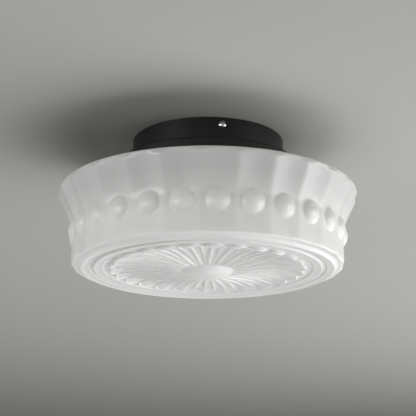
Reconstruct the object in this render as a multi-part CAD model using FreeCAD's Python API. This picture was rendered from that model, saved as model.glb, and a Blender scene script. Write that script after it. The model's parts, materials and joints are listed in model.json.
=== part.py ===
"""Flush mount ceiling light: steel canopy and gallery, pressed opal glass shade on three spring clips,
and one screw-base lamp lying flat above the shade. Millimetres, +Z up, and the ceiling is the plane z = 0.
The origin is the middle of the ceiling bracket. Azimuths are degrees from the front, -Y, towards +X.
The glass is one pressing, written as five touching solids: neck, shoulder, flare, band and floor."""
import os
import FreeCAD, Part
from math import asin, cos, pi, radians, sin, sqrt, tan

os.makedirs("parts", exist_ok=True)

# Sheet metal and clearances
SHEET = 1.2
PLATE = 1.5
CLEARANCE = 0.3
RUNNING = 0.06
BEYOND = 5.0                # how far a cutting tool runs past the face it cuts

# Canopy: the upper cup, open to the ceiling
CANOPY_R = 76.0
CANOPY_H = 25.0
CANOPY_EDGE_R = 1.0
CANOPY_RIM_CHAMFER = 0.4

# Gallery: the wider cup below it, which holds the glass
GALLERY_R = 91.0
GALLERY_H = 20.0
GALLERY_EDGE_R = 2.0

# Ceiling bracket
BRACKET_RIM = 8.0           # disc left outside the ceiling slots
BRACKET_ARM_W = 16.0
BRACKET_TAB_H = 14.0
TAB_GAP = 0.7
CABLE_HOLE_R = 9.0
CEILING_SLOT_SPACING = 64.0
CEILING_SLOT_L = 12.0
CEILING_SLOT_R = 2.5

# Canopy screws, threaded through the canopy wall into nuts on the bracket's tabs
SCREW_AZIMUTHS = (10.5, 130.5, 250.5)
SCREW_NAMES = ("pan_screw_front", "pan_screw_right", "pan_screw_left")
SCREW_Z = -7.5
SCREW_R = 2.0
SCREW_HOLE_GAP = 0.25
SCREW_SEAT_GAP = 0.1
SCREW_TAIL = 1.5
SCREW_HEAD_R = 3.75
SCREW_HEAD_H = 2.4
SCREW_HEAD_EDGE = 0.6
CROSS_W = 0.9
CROSS_DEPTH = 1.3
NUT_AF = 7.0
NUT_T = 3.2

# Shade: radii, with the fluted wall's on its ridges
FLUTES = 26
FLUTE_AZIMUTH = 3.9
PETAL_AZIMUTH = 2.5
BAND_R = 134.8
BAND_TAPER = 0.4
FLARE_FOOT = 2.2            # how far the flare's foot stands outside the band
FLARE_OUT = 15.2            # how far the rim stands outside the band
RIM_FLUTE = 3.0
FLARE_FLUTE = 2.3
BAND_FLUTE = 1.6
FOOT_FLUTE = 0.8
GLASS = 3.2
NECK_ROOM = 7.8             # between the gallery's wall and the neck, for the clips
LIP_OUT = 2.5
LIP_H = 4.5
LIP_CHAMFER = 0.8
NECK_FILLET = 6.0
RIM_LAND = 9.2              # from the rim's bulge to the shoulder's outer edge
BUTTON_R = 12.2
BUTTON_H = 6.8
FOOT_IN = 9.4               # rings and rosette, measured inwards from the band
FOOT_H = 4.6
RING_IN = 26.8
RING_H = 1.9
RING_W = 3.4
ROSETTE_IN = 38.8
ROSETTE_STEP = 1.4
SAUCER_IN = 64.8            # where the rosette's ground is shallowest
SAUCER_RISE = 1.4
BOSS_ROOT = 2.8
PETAL_H = 2.6
PETAL_WAIST_H = 0.7
PETAL_TIP_H = 0.9
PETAL_GAP = 0.3
PETAL_ROOT = 1.5
BOSS_R = 25.5
BOSS_H = 9.0
FLOOR_T = 5.0
CAVITY_CORNER = 8.0

# Shade: heights below the gallery's lower edge
SHOULDER_DROP = 1.5
RIM_TOP_DROP = 9.0
RIM_BULGE_DROP = 13.0
FLARE_END_DROP = 41.5
BAND_TOP_DROP = 48.0
BUTTON_DROP = 54.8
BAND_BOTTOM_DROP = 84.5
FLOOR_DROP = 85.9

# Spring clips and gasket
CLIP_T = 0.6
CLIP_W = 12.0
CLIP_AZIMUTHS = (70.5, 190.5, 310.5)
CLIP_SLOPE = 1.19           # fall of the clip's slope for each millimetre inwards
CLIP_LEAF_L = 2.6
CLIP_LEAD_OUT = 4.3
CLIP_LEAD_DOWN = 6.2
CLIP_KNEE_GAP = 0.4
GASKET_T = 2.0
GASKET_INSET = 0.5

# Lampholder, lying along X
LAMP_DROP = 21.0            # lamp axis below the gallery's lower edge
LEG_FROM_GROMMET = 11.0
LEG_W = 26.0
FOOT_LEAF_L = 36.0
FOOT_RIVET_IN = 8.0
FOOT_RIVET_Y = 7.5
NIPPLE_R = 5.0
NIPPLE_BORE_R = 3.7
NIPPLE_IN_CAP = 6.0
NIPPLE_TAIL = 1.5
WASHER_R = 8.2
WASHER_T = 0.6
WASHER_TEETH = 12
HOLDER_NUT_AF = 15.0
HOLDER_NUT_T = 3.0
CAP_L = 15.5
CAP_NECK_R = 10.0
CAP_BACK_R = 13.0
BARREL_L = 34.0
BARREL_WALL = 2.5
BARREL_SKIRT = 10.0
BARREL_OVER_SHELL = 5.6     # barrel radius outside the threaded shell
INSERT_T = 5.0
SHELL_T = 0.5
SHELL_GAP = 0.6
LAMP_IN_SHELL = 0.35
TERMINAL_L = 5.0
TERMINAL_HALF_W = 3.3
TERMINAL_HALF_H = 3.0
TERMINAL_OUT = 2.2          # from the wire to the middle of its terminal
TERMINAL_SCREW_OUT = 0.9
TERMINAL_SCREW_R = 1.25
TERMINAL_HEAD_R = 2.2
TERMINAL_HEAD_L = 2.0
TONGUE_T = 0.48
TONGUE_W = 6.0

# Lamp
LAMP_CAP_R = 13.05
LAMP_THREAD_PITCH = 3.63
LAMP_THREAD_DEPTH = 0.9
LAMP_THREAD_TURNS = 5
LAMP_TIP_R = 4.6
LAMP_TIP_H = 1.2
INSULATOR_H = 3.8
CAP_LINER_T = 2.75          # cap radius outside the housing's spigot
GLOBE_R = 22.5
GLOBE_T = 1.2
GLOBE_SEAM = 10.0           # seam behind the globe's middle
LAMP_L = 78.0

# Wiring in the canopy
WIRE_R = 1.2
WIRE_PAIR_GAP = 0.9
WIRE_ABOVE_FLOOR = 6.8
WIRE_BEND_R = 8.0
WIRE_START = 14.0
WIRE_STAGGER = 2.0
WIRE_INTO_BLOCK = 3.0
WIRE_RUN_IN = 31.0
GROMMET_FROM_WALL = 15.0
GROMMET_HOLE_R = 4.6
GROMMET_LIP = 1.8
GROMMET_LIP_T = 1.5
BLOCK_X = 12.0
BLOCK_Y = 30.0
BLOCK_L = 30.0
BLOCK_W = 18.0
BLOCK_H = 14.0
POLE_PITCH = 10.0
POLE_BORE_R = 2.6
CLAMP_BORE_R = 1.6
CLAMP_SCREW_Y = 4.5
CLAMP_SCREW_R = 1.45
CLAMP_HEAD_R = 1.9
CLAMP_WELL_R = 2.2
EARTH_Y = -14.0
EARTH_WASHER_R = 4.2
EARTH_WASHER_T = 0.6
EARTH_TEETH = 10
LUG_R = 4.0
LUG_T = 0.8
LUG_BARREL_R = 1.9
LUG_BARREL_START = 5.0
LUG_BARREL_END = 11.0
RIVET_R = 1.6
RIVET_HEAD_R = 3.2
RIVET_HEAD_H = 1.0
RIVET_FROM_WALL = 10.0

FLOOR_TOP_Z = -CANOPY_H + SHEET
PLATE_BOTTOM_Z = -CANOPY_H - SHEET
GALLERY_LOW_Z = -CANOPY_H - GALLERY_H
CANOPY_IN_R = CANOPY_R - SHEET
GALLERY_IN_R = GALLERY_R - SHEET
BRACKET_DISC_R = (CEILING_SLOT_SPACING + CEILING_SLOT_L) / 2 + BRACKET_RIM
TAB_OUT_X = sqrt((CANOPY_IN_R - CLEARANCE) ** 2 - (BRACKET_ARM_W / 2) ** 2) - TAB_GAP
GALLERY_RIVET_R = CANOPY_R - RIVET_FROM_WALL
GROMMET_X = -(CANOPY_R - GROMMET_FROM_WALL)
LEG_X = GROMMET_X + LEG_FROM_GROMMET
LAMP_Z = GALLERY_LOW_Z - LAMP_DROP
SHELL_BORE_R = LAMP_CAP_R + LAMP_IN_SHELL
BARREL_R = SHELL_BORE_R + SHELL_T + BARREL_OVER_SHELL
WIRE_Y = WIRE_R + WIRE_PAIR_GAP / 2
WIRE_Z = FLOOR_TOP_Z + WIRE_ABOVE_FLOOR
GASKET_BOTTOM_Z = PLATE_BOTTOM_Z - GASKET_T
LIP_TOP_Z = GASKET_BOTTOM_Z - CLEARANCE
LIP_BOTTOM_Z = LIP_TOP_Z - LIP_H
NECK_R = GALLERY_IN_R - NECK_ROOM
NECK_IN_R = NECK_R - GLASS
LIP_R = NECK_R + LIP_OUT
RIM_R = BAND_R + FLARE_OUT
FLARE_END_R = BAND_R + FLARE_FOOT
FOOT_R = BAND_R - FOOT_IN
RING_R = BAND_R - RING_IN
ROSETTE_R = BAND_R - ROSETTE_IN
SAUCER_R = BAND_R - SAUCER_IN
SHOULDER_Z = GALLERY_LOW_Z - SHOULDER_DROP
RIM_TOP_Z = GALLERY_LOW_Z - RIM_TOP_DROP
RIM_BULGE_Z = GALLERY_LOW_Z - RIM_BULGE_DROP
FLARE_END_Z = GALLERY_LOW_Z - FLARE_END_DROP
BAND_TOP_Z = GALLERY_LOW_Z - BAND_TOP_DROP
BAND_BOTTOM_Z = GALLERY_LOW_Z - BAND_BOTTOM_DROP
BUTTON_Z = GALLERY_LOW_Z - BUTTON_DROP
FLOOR_OUT_Z = GALLERY_LOW_Z - FLOOR_DROP
FLOOR_IN_Z = FLOOR_OUT_Z + FLOOR_T
SAUCER_Z = FLOOR_OUT_Z + SAUCER_RISE
BOSS_ROOT_Z = FLOOR_OUT_Z - BOSS_ROOT


def vec(x, y, z):
    return FreeCAD.Vector(x, y, z)


def turned(shape, azimuth):
    """Carry a shape built on the +X side round to an azimuth."""
    return shape.rotated(vec(0, 0, 0), vec(0, 0, 1), azimuth - 90.0)


def face_of(points):
    """A flat face through points, where a tuple ("arc", middle, end) is an arc from the last point."""
    edges, last = [], points[0]
    for item in points[1:] + [points[0]]:
        if item[0] == "arc":
            edges.append(Part.Arc(last, item[1], item[2]).toShape())
            last = item[2]
        elif item.distanceToPoint(last) > 1e-6:
            edges.append(Part.LineSegment(last, item).toShape())
            last = item
    return Part.Face(Part.Wire(edges))


def rz(r, z):
    """A point of a section through the Z axis."""
    return vec(r, 0, z)


def spun(points, sweep=360.0, start=0.0):
    """Turn a section in the XZ plane round the Z axis."""
    face = face_of(points).rotated(vec(0, 0, 0), vec(0, 0, 1), start)
    return face.revolve(vec(0, 0, 0), vec(0, 0, 1), sweep)


def xr(x, r):
    """A point of a section through the lamp's axis, which runs along X."""
    return vec(x, 0, LAMP_Z + r)


def spun_x(points, z=LAMP_Z):
    """Turn a section round an axis along X at height z."""
    return face_of(points).revolve(vec(0, 0, z), vec(1, 0, 0), 360.0)


def rod(r, start, end):
    """A round bar from one point to another."""
    way = end - start
    return Part.makeCylinder(r, way.Length, start, way)


def ring(r_in, r_out, z_low, z_high, x=0.0, y=0.0):
    outer = rod(r_out, vec(x, y, z_low), vec(x, y, z_high))
    return outer.cut(rod(r_in, vec(x, y, z_low - BEYOND), vec(x, y, z_high + BEYOND)))


def box(x0, x1, y0, y1, z0, z1):
    return Part.makeBox(x1 - x0, y1 - y0, z1 - z0, vec(x0, y0, z0))


def hexagon(across_flats, thickness, origin, direction):
    """A hexagonal prism that starts at origin and runs along direction."""
    corner_r = across_flats / sqrt(3)
    turn = FreeCAD.Rotation(vec(0, 0, 1), direction)
    corners = [vec(corner_r * cos(radians(a)), corner_r * sin(radians(a)), 0) for a in range(0, 360, 60)]
    placed = [origin + turn.multVec(c) for c in corners]
    face = Part.Face(Part.makePolygon(placed + [placed[0]]))
    return face.extrude(turn.multVec(vec(0, 0, thickness)))


def strip_face(points, thickness):
    """The outline of a bent strip of constant thickness whose middle line runs through points."""
    half = thickness / 2
    left, right = [], []
    for i, p in enumerate(points):
        before = (p - points[i - 1]).normalize() if i else None
        after = (points[i + 1] - p).normalize() if i + 1 < len(points) else None
        along = before + after if before and after else before or after
        along.normalize()
        side = vec(-along.z, 0, along.x)
        reach = half / side.dot(vec(-(after or before).z, 0, (after or before).x))
        left.append(p + side * reach)
        right.append(p - side * reach)
    outline = left + right[::-1]
    return Part.Face(Part.makePolygon(outline + [outline[0]]))


def tube_along(points, radius, bend):
    """A solid round wire through points, with an arc of radius bend at each corner."""
    edges, last = [], points[0]
    for a, b, c in zip(points, points[1:], points[2:]):
        u, v = (a - b).normalize(), (c - b).normalize()
        half = u.getAngle(v) / 2
        reach = min(bend / tan(half), 0.45 * (a - b).Length, 0.45 * (c - b).Length)
        start, end = b + u * reach, b + v * reach
        centre = b + (u + v).normalize() * (reach / cos(half))
        middle = centre + (b - centre).normalize() * (reach * tan(half))
        edges.append(Part.LineSegment(last, start).toShape())
        edges.append(Part.Arc(start, middle, end).toShape())
        last = end
    edges.append(Part.LineSegment(last, points[-1]).toShape())
    path = Part.Wire(edges)
    section = Part.Wire(Part.makeCircle(radius, points[0], points[1] - points[0]))
    return path.makePipeShell([section], True, False)


def save(name, *solids):
    shape = solids[0] if len(solids) == 1 else Part.makeCompound(list(solids))
    shape.exportStep("parts/%s.step" % name)
    print("%-24s %2d solids %12.1f mm3 valid %s" % (name, len(shape.Solids), shape.Volume, shape.isValid()))


def rivet_places():
    """Rivets that join canopy and gallery, and the two that also hold the lampholder bracket."""
    joint = [turned(Part.Vertex(GALLERY_RIVET_R, 0, 0), a).Point for a in CLIP_AZIMUTHS]
    bracket = [vec(LEG_X + FOOT_LEAF_L - FOOT_RIVET_IN, y, 0) for y in (-FOOT_RIVET_Y, FOOT_RIVET_Y)]
    return joint, bracket


def drill_sheets(sheet):
    """Holes that canopy floor and gallery plate share."""
    deep, high = PLATE_BOTTOM_Z - BEYOND, FLOOR_TOP_Z + BEYOND
    joint, bracket = rivet_places()
    for p in joint + bracket:
        sheet = sheet.cut(rod(RIVET_R + RUNNING, vec(p.x, p.y, deep), vec(p.x, p.y, high)))
    sheet = sheet.cut(rod(GROMMET_HOLE_R, vec(GROMMET_X, 0, deep), vec(GROMMET_X, 0, high)))
    earth_x = BLOCK_X + POLE_PITCH
    sheet = sheet.cut(rod(SCREW_R + RUNNING, vec(earth_x, EARTH_Y, deep), vec(earth_x, EARTH_Y, high)))
    block_x = BLOCK_X - POLE_PITCH / 2
    return sheet.cut(rod(RIVET_R, vec(block_x, BLOCK_Y, deep), vec(block_x, BLOCK_Y, high)))


def make_bracket():
    """Flat disc with three arms whose ends turn down into tabs, one behind each canopy screw."""
    plate = rod(BRACKET_DISC_R, vec(0, 0, -PLATE), vec(0, 0, 0))
    for a in SCREW_AZIMUTHS:
        half = BRACKET_ARM_W / 2
        arm = box(BRACKET_DISC_R / 2, TAB_OUT_X, -half, half, -PLATE, 0)
        tab = box(TAB_OUT_X - PLATE, TAB_OUT_X, -half, half, -BRACKET_TAB_H, 0)
        hole_r = SCREW_R + SCREW_HOLE_GAP
        hole = rod(hole_r, vec(TAB_OUT_X - BEYOND, 0, SCREW_Z), vec(TAB_OUT_X + BEYOND, 0, SCREW_Z))
        plate = plate.fuse(turned(arm.fuse(tab).cut(hole), a))
    plate = plate.removeSplitter()
    plate = plate.cut(rod(CABLE_HOLE_R, vec(0, 0, -BEYOND), vec(0, 0, BEYOND)))
    run = CEILING_SLOT_L / 2 - CEILING_SLOT_R
    for side in (-1, 1):
        x = side * CEILING_SLOT_SPACING / 2
        slot = box(x - run, x + run, -CEILING_SLOT_R, CEILING_SLOT_R, -BEYOND, BEYOND)
        for end in (-run, run):
            slot = slot.fuse(rod(CEILING_SLOT_R, vec(x + end, 0, -BEYOND), vec(x + end, 0, BEYOND)))
        plate = plate.cut(slot)
    save("ceiling_bracket", plate)


def make_tab_nuts():
    nuts = []
    for a in SCREW_AZIMUTHS:
        start = TAB_OUT_X - PLATE - NUT_T
        nut = hexagon(NUT_AF, NUT_T, vec(start, 0, SCREW_Z), vec(1, 0, 0))
        bore = rod(SCREW_R + RUNNING, vec(start - BEYOND, 0, SCREW_Z), vec(start + NUT_T + BEYOND, 0, SCREW_Z))
        nuts.append(turned(nut.cut(bore), a))
    save("tab_nuts", *nuts)


def make_pan_screws():
    """Dome-headed screws with a cross recess, each with its own body."""
    seat = CANOPY_R + SCREW_SEAT_GAP
    tip = TAB_OUT_X - PLATE - NUT_T - SCREW_TAIL
    top = seat + SCREW_HEAD_H
    for name, a in zip(SCREW_NAMES, SCREW_AZIMUTHS):
        head = spun_x([vec(seat, 0, SCREW_Z), vec(seat, 0, SCREW_Z + SCREW_HEAD_R),
                       vec(seat + SCREW_HEAD_EDGE, 0, SCREW_Z + SCREW_HEAD_R),
                       ("arc", vec(seat + 0.78 * SCREW_HEAD_H, 0, SCREW_Z + 0.66 * SCREW_HEAD_R),
                        vec(top, 0, SCREW_Z))], SCREW_Z)
        screw = head.fuse(rod(SCREW_R, vec(tip, 0, SCREW_Z), vec(seat + SCREW_HEAD_EDGE / 2, 0, SCREW_Z)))
        long, wide, deep = 0.5 * SCREW_HEAD_R, CROSS_W / 2, CROSS_DEPTH
        screw = screw.cut(box(top - deep, top + BEYOND, -long, long, SCREW_Z - wide, SCREW_Z + wide))
        screw = screw.cut(box(top - deep, top + BEYOND, -wide, wide, SCREW_Z - long, SCREW_Z + long))
        save(name, turned(screw, a))


def make_canopy():
    """Drawn steel cup, open upwards, with a rounded lower edge."""
    e, c = CANOPY_EDGE_R, CANOPY_RIM_CHAMFER
    outer = [rz(0, 0), rz(CANOPY_R - c, 0), rz(CANOPY_R, -c), rz(CANOPY_R, -CANOPY_H + e),
             ("arc", rz(CANOPY_R - e * (1 - cos(radians(45))), -CANOPY_H + e * (1 - sin(radians(45)))),
              rz(CANOPY_R - e, -CANOPY_H)), rz(0, -CANOPY_H)]
    cup = spun(outer).cut(rod(CANOPY_IN_R, vec(0, 0, FLOOR_TOP_Z), vec(0, 0, BEYOND)))
    for a in SCREW_AZIMUTHS:
        inside, outside = vec(CANOPY_IN_R - BEYOND, 0, SCREW_Z), vec(CANOPY_R + BEYOND, 0, SCREW_Z)
        cup = cup.cut(turned(rod(SCREW_R + CLEARANCE, inside, outside), a))
    save("canopy", drill_sheets(cup))


def make_gallery():
    """Wider drawn cup, open downwards, that the neck of the glass stands in."""
    e = GALLERY_EDGE_R
    low = GALLERY_LOW_Z
    outer = [rz(0, -CANOPY_H), rz(GALLERY_R - e, -CANOPY_H),
             ("arc", rz(GALLERY_R - e * (1 - cos(radians(45))), -CANOPY_H - e * (1 - sin(radians(45)))),
              rz(GALLERY_R, -CANOPY_H - e)), rz(GALLERY_R, low), rz(0, low)]
    cup = spun(outer).cut(rod(GALLERY_IN_R, vec(0, 0, low - BEYOND), vec(0, 0, PLATE_BOTTOM_Z)))
    save("gallery", drill_sheets(cup))


def rivet(x, y, low):
    """A rivet with a flat head above the canopy floor and one below the lowest sheet."""
    top = FLOOR_TOP_Z + RIVET_HEAD_H
    half = RIVET_HEAD_H / 2
    shank = rod(RIVET_R, vec(x, y, low - half), vec(x, y, top - half))
    upper = rod(RIVET_HEAD_R, vec(x, y, FLOOR_TOP_Z), vec(x, y, top))
    lower = rod(RIVET_HEAD_R, vec(x, y, low - RIVET_HEAD_H), vec(x, y, low))
    return shank.fuse([upper, lower]).removeSplitter()


def make_rivets():
    joint, bracket = rivet_places()
    save("gallery_rivets", *[rivet(p.x, p.y, PLATE_BOTTOM_Z) for p in joint])
    save("bracket_rivets", *[rivet(p.x, p.y, PLATE_BOTTOM_Z - PLATE) for p in bracket])


def make_gasket():
    save("glass_gasket", ring(NECK_IN_R + GASKET_INSET, LIP_R - GASKET_INSET, GASKET_BOTTOM_Z, PLATE_BOTTOM_Z))


def clip_line():
    """Middle line of a clip: spot-welded leaf, slope under the lip, knee beside the neck, lead-in."""
    leaf_r = GALLERY_IN_R - CLIP_T / 2
    knee_r = NECK_R + CLIP_KNEE_GAP + CLIP_T / 2
    slope = (leaf_r - knee_r) / CLIP_SLOPE
    corner = vec(LIP_R, 0, LIP_BOTTOM_Z)
    side = vec(slope, 0, knee_r - leaf_r).normalize()
    on_slope = corner - side * (CLEARANCE + CLIP_T / 2) * (1 if side.z > 0 else -1)
    top_z = on_slope.z + (leaf_r - on_slope.x) / CLIP_SLOPE
    knee_z = top_z - slope
    lead = rz(knee_r + CLIP_LEAD_OUT, knee_z - CLIP_LEAD_DOWN)
    return [rz(leaf_r, top_z + CLIP_LEAF_L), rz(leaf_r, top_z), rz(knee_r, knee_z), lead]


def make_clips():
    sweep = CLIP_W / GALLERY_IN_R * 180 / pi
    clips = []
    for a in CLIP_AZIMUTHS:
        face = strip_face(clip_line(), CLIP_T).rotated(vec(0, 0, 0), vec(0, 0, 1), -sweep / 2)
        clips.append(turned(face.revolve(vec(0, 0, 0), vec(0, 0, 1), sweep), a))
    save("spring_clips", *clips)


def fluted_wire(z, ridge_r, depth):
    """Plan outline of the shade at one height: an inward arc between each pair of ridges."""
    half = 180.0 / FLUTES
    ridges = [FLUTE_AZIMUTH - 90.0 - half + 360.0 * i / FLUTES for i in range(FLUTES + 1)]
    edges = []
    for a, b in zip(ridges, ridges[1:]):
        ends = [vec(ridge_r * cos(radians(t)), ridge_r * sin(radians(t)), z) for t in (a, b)]
        m = radians(a + half)
        edges.append(Part.Arc(ends[0], vec((ridge_r - depth) * cos(m), (ridge_r - depth) * sin(m), z),
                              ends[1]).toShape())
    return Part.Wire(edges)


def shade_wall():
    """Fluted wall under a round rim: the flutes start below the rim and grow shallower towards the foot."""
    levels = ((RIM_TOP_Z, RIM_R - RIM_FLUTE, 0.0), (RIM_BULGE_Z, RIM_R, RIM_FLUTE),
              (FLARE_END_Z, FLARE_END_R, FLARE_FLUTE), (BAND_TOP_Z, BAND_R, BAND_FLUTE),
              (BAND_BOTTOM_Z, BAND_R - BAND_TAPER, FOOT_FLUTE))
    return Part.makeLoft([fluted_wire(*level) for level in levels], True, True)


def boss_cap():
    """Points of the dome in the middle of the underside, walking inwards."""
    sphere_r = (BOSS_R ** 2 + BOSS_H ** 2) / (2 * BOSS_H)
    centre_z = BOSS_ROOT_Z - BOSS_H + sphere_r
    lean = 0.5 * asin(BOSS_R / sphere_r)
    middle = rz(sphere_r * sin(lean), centre_z - sphere_r * cos(lean))
    return [rz(BOSS_R, BOSS_ROOT_Z), ("arc", middle, rz(0, centre_z - sphere_r))]


def shade_base():
    """Round underside: foot ring, a finer ring, the hollow ground of the rosette and the boss."""
    z = FLOOR_OUT_Z
    edge = BAND_R - BAND_TAPER - BAND_FLUTE - 0.3
    root = 3.4
    top_z = BAND_BOTTOM_Z + 6.0
    outline = [rz(0, top_z), rz(edge, top_z), rz(edge, BAND_BOTTOM_Z - 0.1), rz(FOOT_R + root, z - 0.8),
               rz(FOOT_R + 1.6, z - 2.6),
               ("arc", rz(FOOT_R, BAND_BOTTOM_Z - FOOT_H), rz(FOOT_R - 1.8, z - 2.6)),
               rz(FOOT_R - root, z - 0.4)]
    outline += [rz(RING_R + RING_W, z), ("arc", rz(RING_R, z - RING_H), rz(RING_R - RING_W, z)),
                rz(ROSETTE_R, z), rz(ROSETTE_R, z - ROSETTE_STEP), rz(SAUCER_R, SAUCER_Z)]
    return spun(outline + boss_cap())


def petal():
    """One lobe of the rosette: high at its outer end, low at the waist, and fading into the boss."""
    half_angle = radians(180.0 / FLUTES)
    sections = []
    for r, z, crest in ((ROSETTE_R - 0.5, FLOOR_OUT_Z - ROSETTE_STEP, PETAL_H),
                        (SAUCER_R, SAUCER_Z, PETAL_WAIST_H),
                        (BOSS_R - 4.0, BOSS_ROOT_Z, PETAL_TIP_H)):
        w = r * tan(half_angle) - PETAL_GAP
        a, b = vec(r, -w, z), vec(r, w, z)
        up = vec(0, 0, PETAL_ROOT)
        arc = Part.Arc(a, vec(r, 0, z - crest), b).toShape()
        sides = [Part.LineSegment(b, b + up).toShape(), Part.LineSegment(b + up, a + up).toShape(),
                 Part.LineSegment(a + up, a).toShape()]
        sections.append(Part.Wire([arc] + sides))
    return Part.makeLoft(sections, True, True)


def shade_cavity():
    """Smooth inside of the shade, from the neck's mouth to the floor."""
    flare_r = FLARE_END_R - FLARE_FLUTE - GLASS
    band_r = BAND_R - BAND_FLUTE - GLASS
    rim_r = RIM_R - RIM_FLUTE - GLASS
    corner = CAVITY_CORNER
    c = corner * (1 - cos(radians(45)))
    return spun([rz(0, LIP_TOP_Z + BEYOND), rz(0, FLOOR_IN_Z), rz(band_r - corner, FLOOR_IN_Z),
                 ("arc", rz(band_r - c, FLOOR_IN_Z + c), rz(band_r, FLOOR_IN_Z + corner)),
                 rz(band_r, BAND_TOP_Z), rz(flare_r, FLARE_END_Z), rz(rim_r, RIM_BULGE_Z - 2.0),
                 rz(RIM_R - RIM_LAND, RIM_BULGE_Z), rz(NECK_R + 2.0, SHOULDER_Z - GLASS),
                 rz(NECK_IN_R, SHOULDER_Z - GLASS + 3.0), rz(NECK_IN_R, LIP_TOP_Z + BEYOND)])


def shade_top():
    """Neck with its lip, and the shoulder out to the rim, still filled inside."""
    low = RIM_TOP_Z - 3.0
    edge = RIM_R - NECK_FILLET
    root = NECK_FILLET / 2
    return spun([rz(0, low), rz(edge, low), rz(edge, RIM_TOP_Z), rz(NECK_R + NECK_FILLET, SHOULDER_Z),
                 rz(NECK_R, SHOULDER_Z + root), rz(NECK_R, LIP_BOTTOM_Z - 1.0), rz(LIP_R, LIP_BOTTOM_Z),
                 rz(LIP_R, LIP_TOP_Z + LIP_CHAMFER), rz(LIP_R - LIP_CHAMFER, LIP_TOP_Z), rz(0, LIP_TOP_Z)])


def split_shade(glass):
    """Neck, shoulder, flare, band and floor of the pressing, cut where they meet and touching face to face."""
    far = 2 * RIM_R
    below_floor = rod(far, vec(0, 0, FLOOR_OUT_Z - far), vec(0, 0, FLOOR_IN_Z))
    below_flare = rod(far, vec(0, 0, FLOOR_OUT_Z - far), vec(0, 0, BAND_TOP_Z))
    inside_rim = rod(RIM_R - RIM_LAND, vec(0, 0, RIM_BULGE_Z), vec(0, 0, 0))
    inside_neck = rod(NECK_R + NECK_FILLET, vec(0, 0, RIM_BULGE_Z), vec(0, 0, 0))
    save("shade_floor", glass.common(below_floor))
    above = glass.cut(below_floor)
    wall = above.cut(inside_rim)
    save("shade_band", wall.common(below_flare))
    save("shade_flare", wall.cut(below_flare))
    top = above.common(inside_rim)
    save("shade_shoulder", top.cut(inside_neck))
    save("shade_neck", top.common(inside_neck))


def make_shade():
    """Pressed glass: fluted flaring wall, band of buttons, ringed foot and petalled rosette."""
    sphere_r = (BUTTON_R ** 2 + BUTTON_H ** 2) / (2 * BUTTON_H)
    centre_r = BAND_R - BAND_FLUTE + BUTTON_H - sphere_r
    knobs, petals = [], []
    for i in range(FLUTES):
        a = 360.0 * i / FLUTES
        knobs.append(turned(Part.makeSphere(sphere_r, vec(centre_r, 0, BUTTON_Z)), FLUTE_AZIMUTH + a))
        petals.append(turned(petal(), PETAL_AZIMUTH + a))
    body = shade_wall().fuse([shade_top(), shade_base()])
    body = body.fuse(knobs)
    body = body.fuse(petals)
    split_shade(body.cut(shade_cavity()))


def make_holder_bracket():
    """Angle of sheet steel that hangs from the gallery plate and carries the lampholder."""
    top = PLATE_BOTTOM_Z
    half = LEG_W / 2
    leaf = box(LEG_X, LEG_X + FOOT_LEAF_L, -half, half, top - PLATE, top)
    leg = box(LEG_X, LEG_X + PLATE, -half, half, LAMP_Z, top)
    foot = rod(half, vec(LEG_X, 0, LAMP_Z), vec(LEG_X + PLATE, 0, LAMP_Z))
    angle = leaf.fuse([leg, foot]).removeSplitter()
    angle = angle.cut(rod(NIPPLE_R + RUNNING, vec(LEG_X - BEYOND, 0, LAMP_Z), vec(LEG_X + BEYOND, 0, LAMP_Z)))
    for p in rivet_places()[1]:
        angle = angle.cut(rod(RIVET_R + RUNNING, vec(p.x, p.y, top - BEYOND), vec(p.x, p.y, top + BEYOND)))
    save("lampholder_bracket", angle)


def make_nipple():
    """Threaded tube that clamps the lampholder to its bracket and lets the wires in."""
    nut_x = LEG_X - WASHER_T - HOLDER_NUT_T
    tube = rod(NIPPLE_R, vec(nut_x - NIPPLE_TAIL, 0, LAMP_Z), vec(LEG_X + PLATE + NIPPLE_IN_CAP, 0, LAMP_Z))
    left, right = vec(nut_x - BEYOND, 0, LAMP_Z), vec(LEG_X + PLATE + NIPPLE_IN_CAP + BEYOND, 0, LAMP_Z)
    clear = rod(NIPPLE_R + RUNNING, left, right)
    save("holder_nipple", tube.cut(rod(NIPPLE_BORE_R, left, right)))
    nut = hexagon(HOLDER_NUT_AF, HOLDER_NUT_T, vec(nut_x, 0, LAMP_Z), vec(1, 0, 0))
    save("nipple_nut", nut.cut(clear))
    washer = rod(WASHER_R, vec(LEG_X - WASHER_T, 0, LAMP_Z), vec(LEG_X, 0, LAMP_Z)).cut(clear)
    for i in range(WASHER_TEETH):
        notch = box(LEG_X - 2, LEG_X + 1, -0.8, 0.8, LAMP_Z + WASHER_R - 1.0, LAMP_Z + WASHER_R + 0.8)
        washer = washer.cut(notch.rotated(vec(0, 0, LAMP_Z), vec(1, 0, 0), 360.0 / WASHER_TEETH * i))
    save("nipple_washer", washer)


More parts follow.
